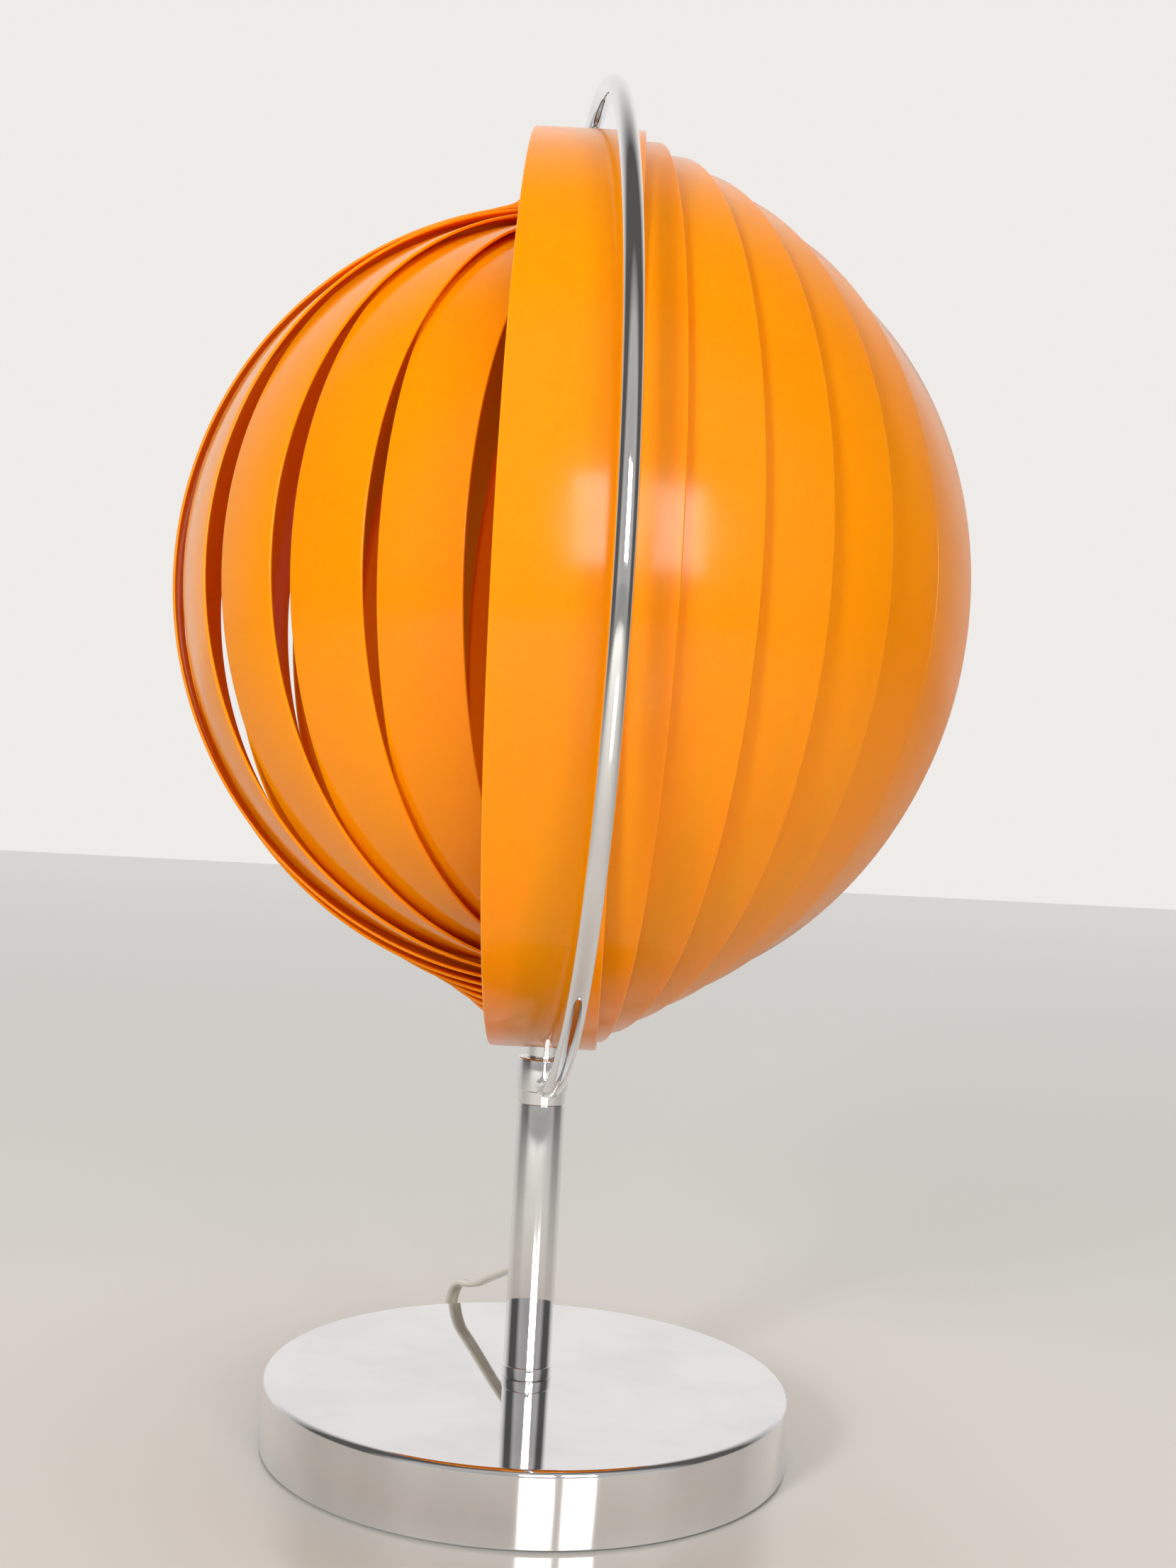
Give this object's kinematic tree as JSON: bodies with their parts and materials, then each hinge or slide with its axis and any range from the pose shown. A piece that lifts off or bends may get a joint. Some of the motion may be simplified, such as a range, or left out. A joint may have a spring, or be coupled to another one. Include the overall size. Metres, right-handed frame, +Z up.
{
  "type": "table lamp",
  "caption": "Table lamp with a weighted chrome disc base, slim stem, chrome hoop and a globe of nested glossy rings that swing about a vertical pivot.",
  "frame": {"origin": "centre of the base's underside, on the surface it stands on", "axes": "+Z up the stem; the hoop stands in the YZ plane; the lead leaves the stem towards +Y"},
  "size_m": [0.3284, 0.4174, 0.5637],
  "materials": {
    "orange_shade": "glossy injection-moulded orange plastic",
    "chrome": "mirror-polished chrome plate",
    "zinc_steel": "zinc-plated steel",
    "cast_iron": "rough cast iron",
    "felt": "black felt",
    "clear_nylon": "natural nylon",
    "white_plastic": "smooth white moulded plastic",
    "brass": "plain brass",
    "bulb_glass": "frosted glass",
    "clear_pvc": "clear PVC over copper strands"
  },
  "bodies": {
    "lamp": {"felt_pad": "felt", "base_plate": "zinc_steel", "base_plate_screws": "zinc_steel", "base_posts": "zinc_steel", "base_shell": "chrome", "base_weight": "cast_iron", "base_washer": "zinc_steel", "base_lock_nut": "zinc_steel", "base_stud": "zinc_steel", "foot_collar": "chrome", "stem_tube": "chrome", "stem_lower_plug": "zinc_steel", "stem_upper_plug": "zinc_steel", "hub": "chrome", "hub_nipple": "zinc_steel", "neck_sleeve": "chrome", "lower_lock_nut": "zinc_steel", "hoop": "chrome", "hoop_stud": "zinc_steel", "ball_finial": "chrome", "top_washer": "chrome", "top_pivot_rod": "chrome", "top_pivot_nut": "zinc_steel", "lower_spacers": "clear_nylon", "upper_spacers": "clear_nylon", "lampholder_cap": "white_plastic", "lampholder_body": "white_plastic", "lampholder_contact": "brass", "bulb_cap": "zinc_steel", "bulb_glass": "bulb_glass", "strain_relief": "clear_pvc", "inner_lead": "clear_pvc", "cord_run": "clear_pvc", "cord_coil": "clear_pvc", "cord_tail": "clear_pvc", "plug_body": "white_plastic", "plug_blades": "brass"},
    "ring_01": {"band_01": "orange_shade"},
    "ring_02": {"band_02": "orange_shade"},
    "ring_03": {"band_03": "orange_shade"},
    "ring_04": {"band_04": "orange_shade"},
    "ring_05": {"band_05": "orange_shade"},
    "ring_06": {"band_06": "orange_shade"},
    "ring_07": {"band_07": "orange_shade"},
    "ring_08": {"band_08": "orange_shade"},
    "ring_09": {"band_09": "orange_shade"},
    "ring_10": {"band_10": "orange_shade"},
    "ring_11": {"band_11": "orange_shade"},
    "ring_12": {"band_12": "orange_shade"},
    "ring_13": {"band_13": "orange_shade"},
    "ring_14": {"band_14": "orange_shade"}
  },
  "joints": [
    {"name": "ring_01_turn", "type": "hinge", "parent": "lamp", "child": "ring_01", "pos_m": [0, 0, 0.355], "axis": [0, 0, 1], "continuous": true},
    {"name": "ring_02_turn", "type": "hinge", "parent": "lamp", "child": "ring_02", "pos_m": [0, 0, 0.355], "axis": [0, 0, 1], "continuous": true},
    {"name": "ring_03_turn", "type": "hinge", "parent": "lamp", "child": "ring_03", "pos_m": [0, 0, 0.355], "axis": [0, 0, 1], "continuous": true},
    {"name": "ring_04_turn", "type": "hinge", "parent": "lamp", "child": "ring_04", "pos_m": [0, 0, 0.355], "axis": [0, 0, 1], "continuous": true},
    {"name": "ring_05_turn", "type": "hinge", "parent": "lamp", "child": "ring_05", "pos_m": [0, 0, 0.355], "axis": [0, 0, 1], "continuous": true},
    {"name": "ring_06_turn", "type": "hinge", "parent": "lamp", "child": "ring_06", "pos_m": [0, 0, 0.355], "axis": [0, 0, 1], "continuous": true},
    {"name": "ring_07_turn", "type": "hinge", "parent": "lamp", "child": "ring_07", "pos_m": [0, 0, 0.355], "axis": [0, 0, 1], "continuous": true},
    {"name": "ring_08_turn", "type": "hinge", "parent": "lamp", "child": "ring_08", "pos_m": [0, 0, 0.355], "axis": [0, 0, 1], "continuous": true},
    {"name": "ring_09_turn", "type": "hinge", "parent": "lamp", "child": "ring_09", "pos_m": [0, 0, 0.355], "axis": [0, 0, 1], "continuous": true},
    {"name": "ring_10_turn", "type": "hinge", "parent": "lamp", "child": "ring_10", "pos_m": [0, 0, 0.355], "axis": [0, 0, 1], "continuous": true},
    {"name": "ring_11_turn", "type": "hinge", "parent": "lamp", "child": "ring_11", "pos_m": [0, 0, 0.355], "axis": [0, 0, 1], "continuous": true},
    {"name": "ring_12_turn", "type": "hinge", "parent": "lamp", "child": "ring_12", "pos_m": [0, 0, 0.355], "axis": [0, 0, 1], "continuous": true},
    {"name": "ring_13_turn", "type": "hinge", "parent": "lamp", "child": "ring_13", "pos_m": [0, 0, 0.355], "axis": [0, 0, 1], "continuous": true},
    {"name": "ring_14_turn", "type": "hinge", "parent": "lamp", "child": "ring_14", "pos_m": [0, 0, 0.355], "axis": [0, 0, 1], "continuous": true}
  ]
}
